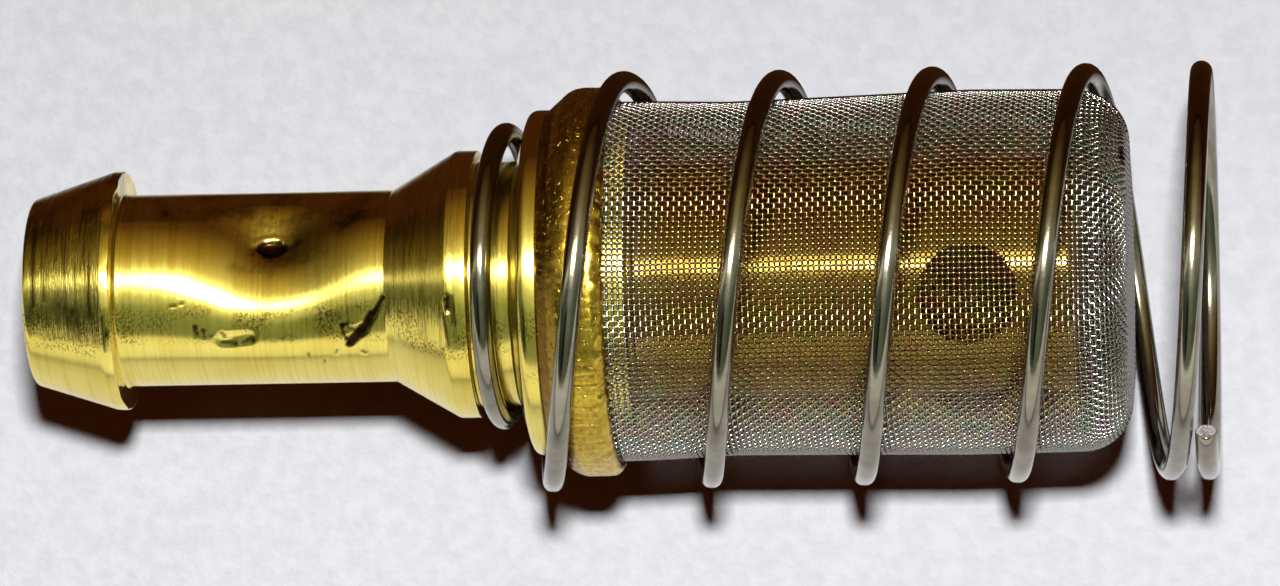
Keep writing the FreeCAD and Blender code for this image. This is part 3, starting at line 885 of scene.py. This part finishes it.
def make_cloth():
    """The woven cup: wires along it, wires round it, and a flat woven end."""
    material = cloth_paint()
    rows = len(cup_profile()[0])
    made = []

    along = (np.arange(rows)[:, None] + CROSSING_STEPS).ravel()
    along_lift = np.repeat(over_or_under(np.arange(rows)), 2) * CLOTH_LIFT
    around = (np.arange(CLOTH_WIRES)[:, None] + CROSSING_STEPS).ravel()
    around_lift = np.repeat(over_or_under(np.arange(CLOTH_WIRES)), 2) * CLOTH_LIFT
    half_wires, half_rows = CLOTH_WIRES // 2, rows // 2
    for name, wires in (("left", range(half_wires)), ("right", range(half_wires, CLOTH_WIRES))):
        column, row = np.meshgrid(np.array(wires, float), along, indexing="ij")
        weave = over_or_under(wires)[:, None] * along_lift
        points, faces = crimped_tubes(*cup_wires(row, column, weave), False)
        made.append(make_object("cloth_long_wires_" + name, points, faces, material))
    for name, wires in (("near", range(half_rows)), ("far", range(half_rows, rows))):
        row, column = np.meshgrid(np.array(wires, float), around, indexing="ij")
        weave = -over_or_under(wires)[:, None] * around_lift
        points, faces = crimped_tubes(*cup_wires(row, column, weave), True)
        made.append(make_object("cloth_round_wires_" + name, points, faces, material))
    made.append(make_cloth_end(material))
    for piece in made:
        x, angle, _ = places_of(piece)
        # The fold's opening is painted shade on the wires
        paint_attribute(piece, "soil_and_shade", fold_hole_shade(x, angle))
        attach(piece, "fitting")
        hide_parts("strainer_cup")


def make_cloth_end(material):
    """The flat woven end, slightly dished."""
    end_r = cup_profile()[1][-1] + END_OVERLAP
    half = int(end_r / CLOTH_PITCH)
    grid = np.arange(-half, half + 1)
    lean = np.interp(X_CUP_END, *CUP_LEAN)
    all_points, all_faces, used = [], [], 0
    for swapped in (False, True):
        for number in grid:
            place = number * CLOTH_PITCH
            crossings = grid[np.abs(grid * CLOTH_PITCH) <= math.sqrt(max(end_r**2 - place**2, 0))]
            if len(crossings) < FEWEST_CROSSINGS:
                continue
            spots = ((crossings[:, None] + CROSSING_STEPS) * CLOTH_PITCH).ravel()
            weave = np.repeat(over_or_under(crossings + number), 2) * (1 if swapped else -1)
            dish = END_DISH * (1 - (spots**2 + place**2) / end_r**2)
            depth = X_CUP_END - CLOTH_HALF + weave * CLOTH_LIFT - dish
            fixed = np.full_like(spots, place)
            y, z = (spots, fixed) if swapped else (fixed, spots)
            line = np.stack([depth, y + lean, z], -1)[None]
            ways = np.zeros_like(line)
            ways[..., 0] = 1
            points, faces = crimped_tubes(line, ways, False)
            all_points.append(points)
            all_faces.append(faces + used)
            used += len(points)
    return make_object("cloth_end_wires", np.concatenate(all_points), np.concatenate(all_faces), material)


# The guard spring, with angles in degrees along its wire

WIRE_R = 0.5
GROOVE_COIL_R = 6.62
GROOVE_COIL_LIFT = 0.35
GROOVE_COIL_PITCH = 0.7
GROOVE_COIL_LEAN = 0.5
GROOVE_COIL_TURNS = 0.88
OPEN_COIL_R = 9.15
STEP_END = -90.0
STEP_START = -270.0
STEP_RAMP = 140.0
WIRE_START = STEP_START - GROOVE_COIL_TURNS * 360
OPEN_END = 1350.0
CLOSE_RAMP = 175.0
END_COIL_TURNS = 0.6
WIRE_END = OPEN_END + CLOSE_RAMP + END_COIL_TURNS * 360
END_COIL_PAST_CUP = 3.4
X_END_COIL = X_CUP_END + END_COIL_PAST_CUP
GROOVE_COIL_BEFORE_FACE = 0.59
X_GROOVE_COIL_END = X_FLANGE_FACE - GROOVE_COIL_BEFORE_FACE
RISE = (X_END_COIL - X_GROOVE_COIL_END) / (OPEN_END - STEP_START - STEP_RAMP / 2 + CLOSE_RAMP / 2)
X_OPEN_START = X_GROOVE_COIL_END + RISE * (STEP_END - STEP_START - STEP_RAMP / 2)
# The climb over the flange, the wire's lag after it, and its gap over the crimp ring
CLIMB = (5, 130)
LAG = 0.3
LAG_TURN = 90
RING_CLEARANCE = 0.15
RING_TURN = 98
# The wire's ends, and how far past the ring the spring stays with the fitting
WIRE_SIDES = 24
WIRE_STEP = 5
END_REACH = 5.0
END_BEVEL_R = 0.06
END_BEVEL = 0.05
SHEAR_SLANT = 0.4


def wire_line(angle):
    """The spring's centre line by its angle in degrees, as in the part's source."""
    groove = X_GROOVE_COIL_END - GROOVE_COIL_PITCH * smooth_step(STEP_START - angle, 0, 360)
    step = X_GROOVE_COIL_END + RISE * np.maximum(angle - STEP_START, 0) ** 2 / (2 * STEP_RAMP)
    lag = LAG * (1 - smooth_step(np.abs(angle - STEP_END), 0, LAG_TURN))
    even = X_OPEN_START + RISE * (angle - STEP_END) - lag
    closing = X_END_COIL - RISE * np.maximum(OPEN_END + CLOSE_RAMP - angle, 0) ** 2 / (2 * CLOSE_RAMP)
    x = np.where(angle < STEP_START, groove, np.where(angle < STEP_START + STEP_RAMP, step, even))
    x = np.where(angle < OPEN_END, x, closing)
    risen = smooth_step(angle - STEP_START, *CLIMB)
    radius = GROOVE_COIL_R + (OPEN_COIL_R - GROOVE_COIL_R) * risen
    over_ring = (1 - np.minimum(np.abs(angle) / RING_TURN, 1) ** 4) ** 2
    radius += (RING_R + WIRE_R + RING_CLEARANCE - OPEN_COIL_R) * over_ring
    turn = np.radians(angle)
    lift = GROOVE_COIL_LIFT * (1 - risen)
    lean = GROOVE_COIL_LEAN * (1 - risen) ** 2 * np.cos(turn)
    return np.stack([x - lean, radius * np.sin(turn) + lift, radius * np.cos(turn)], -1)


def make_spring():
    """The guard spring: a round wire with one end sheared on a slant."""
    count = round((WIRE_END - WIRE_START) / WIRE_STEP) + 1
    line = wire_line(np.linspace(WIRE_START, WIRE_END + END_REACH, count))
    ahead = np.gradient(line, axis=0)
    ahead /= np.linalg.norm(ahead, axis=1, keepdims=True)
    side = np.cross(ahead, line * np.array([0, 1, 1]))
    side /= np.linalg.norm(side, axis=1, keepdims=True)
    over = np.cross(side, ahead)
    bevel = WIRE_R - END_BEVEL_R
    rims = [(0, 0.0), (0, bevel)] + [(i, WIRE_R) for i in range(count)]
    rims += [(count - 1, bevel), (count - 1, 0.0)]
    rows = len(rims)
    nudges, slants = np.zeros(rows), np.zeros(rows)
    nudges[[2, -3]] = (END_BEVEL, -END_BEVEL)
    slants[-3:] = SHEAR_SLANT
    turn = (np.arange(WIRE_SIDES) * math.tau / WIRE_SIDES)[:, None]
    points = []
    for (i, size), nudge, slant in zip(rims, nudges, slants):
        ring = side[i] * np.cos(turn) + over[i] * np.sin(turn)
        points.append(line[i] + ahead[i] * (nudge + slant * size * np.sin(turn)) + size * ring)
    faces = sweep_faces(rows, WIRE_SIDES)
    piece = make_object("guard_spring_wire", np.concatenate(points), faces, spring_paint())
    row = np.repeat(np.arange(rows - 1), WIRE_SIDES)
    piece.data.polygons.foreach_set("use_smooth", (row >= 1) & (row <= rows - 3))
    cut = np.zeros(rows)
    cut[[0, 1, -2, -1]] = 1
    paint_attribute(piece, "cut", np.repeat(cut, WIRE_SIDES))
    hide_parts("guard_spring")
    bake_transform(piece)


# The floor

FLOOR_HALF = 4000.0
FLOOR_TONES = [(0.35, (0.66, 0.665, 0.685)), (0.65, (0.72, 0.72, 0.735))]
FLOOR_ROUGHNESS = 0.6
FLOOR_GLOSS = 0.02
FLOOR_GRAIN_HEIGHT = 0.10
FLOOR_FINE_HEIGHT = 0.02
# A painted fall-off of the lamp's light: the floor's brightness at two places along Y, with an even change
# between them
FLOOR_FALLOFF_Y = (-9.0, 14.0)
FLOOR_FALLOFF = (0.98, 0.81)
# The dark tone that stands in for the floor where metal mirrors its +Y side, and for scattered light
SHADE_TONE = (0.04, 0.012, 0.003)
SHADE_SIDE_Y = (6.5, 10.0)


def make_floor():
    """A pale vinyl sheet with a soft leathery grain and a painted fall-off of light along Y."""
    paint = Paint("pale_vinyl")
    grain = paint.noise(1.4, 1.4, 1.4, 2, 0.5)
    fine = paint.noise(6, 6, 6, 2, 0.5)
    bump = paint.bump(grain, FLOOR_GRAIN_HEIGHT, paint.bump(fine, FLOOR_FINE_HEIGHT))
    station = paint.places()["Y"]
    # Painted fall-off of light, darker towards +Y
    painted_falloff = paint.between(station, *FLOOR_FALLOFF_Y, *FLOOR_FALLOFF)
    colour = paint.mix(1.0, paint.ramp(grain, FLOOR_TONES), painted_falloff, "MULTIPLY")
    paint.set(Base_Color=colour, Roughness=FLOOR_ROUGHNESS, Specular_IOR_Level=FLOOR_GLOSS, Normal=bump)
    shade = paint.node("ShaderNodeBsdfDiffuse", {"Color": SHADE_TONE}).outputs[0]
    ray = paint.node("ShaderNodeLightPath").outputs
    mirrored = paint.math("MULTIPLY", paint.between(station, *SHADE_SIDE_Y), ray["Is Glossy Ray"])
    hidden = paint.math("MAXIMUM", mirrored, paint.math("MINIMUM", ray["Diffuse Depth"], 1.0))
    both = paint.node("ShaderNodeMixShader", {0: hidden, 1: paint.shader.outputs[0], 2: shade})
    output = paint.tree.nodes["Material Output"]
    paint.put(both.outputs[0], output.inputs["Surface"])
    corners = [(-1, -1), (1, -1), (1, 1), (-1, 1)]
    points = [(x * FLOOR_HALF, y * FLOOR_HALF, FLOOR_Z) for x, y in corners]
    floor = make_object("floor", points, [(0, 1, 2, 3)], paint.material, smooth=False)


# The surroundings by direction, as the turn from straight up towards +Y: a pale wall low on the -Y side, a
# dim stretch above it, a pale ceiling, and a dark warm room on the +Y side
ROOM = [
    (-180, (0.55, 0.55, 0.57)),
    (-95, (0.84, 0.84, 0.82)),
    (-75, (1.05, 1.05, 0.98)),
    (-60, (1.12, 1.12, 1.02)),
    (-56, (0.22, 0.26, 0.18)),
    (-22, (0.27, 0.33, 0.22)),
    (-4, (0.62, 0.66, 0.52)),
    (12, (1.00, 1.00, 0.85)),
    (26, (0.72, 0.63, 0.36)),
    (44, (0.40, 0.29, 0.11)),
    (60, (0.24, 0.15, 0.045)),
    (80, (0.10, 0.042, 0.014)),
    (130, (0.02, 0.010, 0.005)),
    (180, (0.06, 0.03, 0.015)),
]
# What rough surfaces get from the room instead
ROOM_LIGHT = (0.032, 0.006, 0.001)
WALL_EDGE = -58.0
# How bright the room stays towards -X and +X, and the shares of a direction along X where it falls off
LEFT_LEVEL = 0.3
RIGHT_LEVEL = 0.6
FALL_OFF = (0.2, 0.65)
# The flash's glow, by turn and by share along X: where it starts to fade, and where it has gone
GLOW = 10.0
GLOW_TURN = 12.0
GLOW_HALF_TURN = (2.0, 11.0)
GLOW_SHARE = -0.08
GLOW_HALF_SHARE = (0.12, 0.45)
# Its weaker edge towards -X
SIDE_GLOW = 1.0
SIDE_GLOW_SHARE = -0.82
SIDE_GLOW_HALF_SHARE = (0.12, 0.32)
# The dark thing beside the glow: the camera and its holder
HOLDER_DARKNESS = 0.92
HOLDER_TURN = -32.0
HOLDER_HALF_TURN = (14.0, 22.0)
HOLDER_SHARE = -0.42
HOLDER_HALF_SHARE = (0.10, 0.22)


def make_world():
    """The room that the metal mirrors, and the little light that it gives to rough surfaces."""
    world = bpy.data.worlds.new("room")
    bpy.context.scene.world = world
    world.use_nodes = True
    world.cycles.sampling_method = "NONE"
    room = Nodes(world.node_tree)
    direction = room.node("ShaderNodeTexCoord").outputs["Generated"]
    way = room.node("ShaderNodeSeparateXYZ", {0: direction}).outputs
    turn = room.math("ARCTAN2", way["Y"], way["Z"])

    def smooth(value, start, end, low, high):
        return room.between(value, start, end, low, high, "SMOOTHSTEP")

    def patch(middle_turn, half_turn, middle_share, half_share):
        """1 in the middle of a patch of the surroundings, 0 outside it."""
        off = room.math("ABSOLUTE", room.math("SUBTRACT", turn, math.radians(middle_turn)))
        aside = room.math("ABSOLUTE", room.math("SUBTRACT", way["X"], middle_share))
        over = smooth(off, *np.radians(half_turn).tolist(), 1.0, 0.0)
        return room.math("MULTIPLY", over, smooth(aside, *half_share, 1.0, 0.0))

    share = room.between(turn, -math.pi, math.pi)
    tone = room.ramp(share, [((degrees + 180) / 360, colour) for degrees, colour in ROOM])
    left = smooth(room.math("MULTIPLY", way["X"], -1.0), *FALL_OFF, 1.0, LEFT_LEVEL)
    right = smooth(way["X"], *FALL_OFF, 1.0, RIGHT_LEVEL)
    level = room.math("MINIMUM", left, right)
    holder = patch(HOLDER_TURN, HOLDER_HALF_TURN, HOLDER_SHARE, HOLDER_HALF_SHARE)
    kept = room.math("SUBTRACT", 1.0, room.math("MULTIPLY", holder, HOLDER_DARKNESS))
    level = room.math("MULTIPLY", level, kept)
    level = room.math("MAXIMUM", level, room.math("LESS_THAN", turn, math.radians(WALL_EDGE)))
    glow = patch(GLOW_TURN, GLOW_HALF_TURN, GLOW_SHARE, GLOW_HALF_SHARE)
    level = room.math("ADD", level, room.math("MULTIPLY", glow, GLOW))
    beside = patch(GLOW_TURN, GLOW_HALF_TURN, SIDE_GLOW_SHARE, SIDE_GLOW_HALF_SHARE)
    level = room.math("ADD", level, room.math("MULTIPLY", beside, SIDE_GLOW))
    seen = room.mix(1.0, tone, level, "MULTIPLY")
    scattered = room.math("MINIMUM", room.node("ShaderNodeLightPath").outputs["Diffuse Depth"], 1.0)
    back = room.tree.nodes["Background"].inputs
    room.put(room.mix(scattered, seen, ROOM_LIGHT), back["Color"])
    room.put(1.0, back["Strength"])


# The lamp and the camera, in metres, watts and degrees

LAMP_SIZE = (0.035, 0.028)
LAMP_PLACE = (0.066, 0.066, 0.39)
LAMP_TILT = (-9.5, 6)
LAMP_POWER = 2.07
LAMP_COLOUR = (0.97, 0.98, 1.0)
LENS_MM = 209.7
SENSOR_MM = 36.0
CLIP_START = 0.01
CLIP_END = 20.0
EYE = (0.0573, -0.0089, 0.3435)
AIM = (0.0242, -0.00055, 0.0)
ROLL = -0.96


def make_light():
    """One soft lamp, a little to the +Y side of straight above."""
    data = bpy.data.lights.new("soft_lamp", "AREA")
    data.shape = "RECTANGLE"
    data.size, data.size_y = LAMP_SIZE
    data.energy = LAMP_POWER
    data.color = LAMP_COLOUR
    lamp = bpy.data.objects.new("soft_lamp", data)
    lamp.location = LAMP_PLACE
    lamp.rotation_euler = (math.radians(LAMP_TILT[0]), math.radians(LAMP_TILT[1]), 0)
    bpy.context.scene.collection.objects.link(lamp)


def make_camera():
    """A long lens over the strainer's end, looking down on the middle of the filter."""
    data = bpy.data.cameras.new("camera")
    data.lens = LENS_MM
    data.sensor_width = SENSOR_MM
    data.clip_start = CLIP_START
    data.clip_end = CLIP_END
    camera = bpy.data.objects.new("camera", data)
    bpy.context.scene.collection.objects.link(camera)
    eye = Vector(EYE)
    back = (eye - Vector(AIM)).normalized()
    roll = math.radians(ROLL)
    right = Vector((-math.sin(roll), math.cos(roll), 0)).cross(back).normalized()
    turn = Matrix((right, back.cross(right), back)).transposed().to_4x4()
    camera.matrix_world = Matrix.Translation(eye) @ turn
    bpy.context.scene.camera = camera


bpy.context.scene.view_settings.view_transform = "Standard"
make_camera()
make_world()
make_light()
make_floor()
make_fitting()
make_ring()
make_cloth()
make_spring()

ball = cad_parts["check_ball"]
ball.data.materials.clear()
ball.data.materials.append(ball_paint())
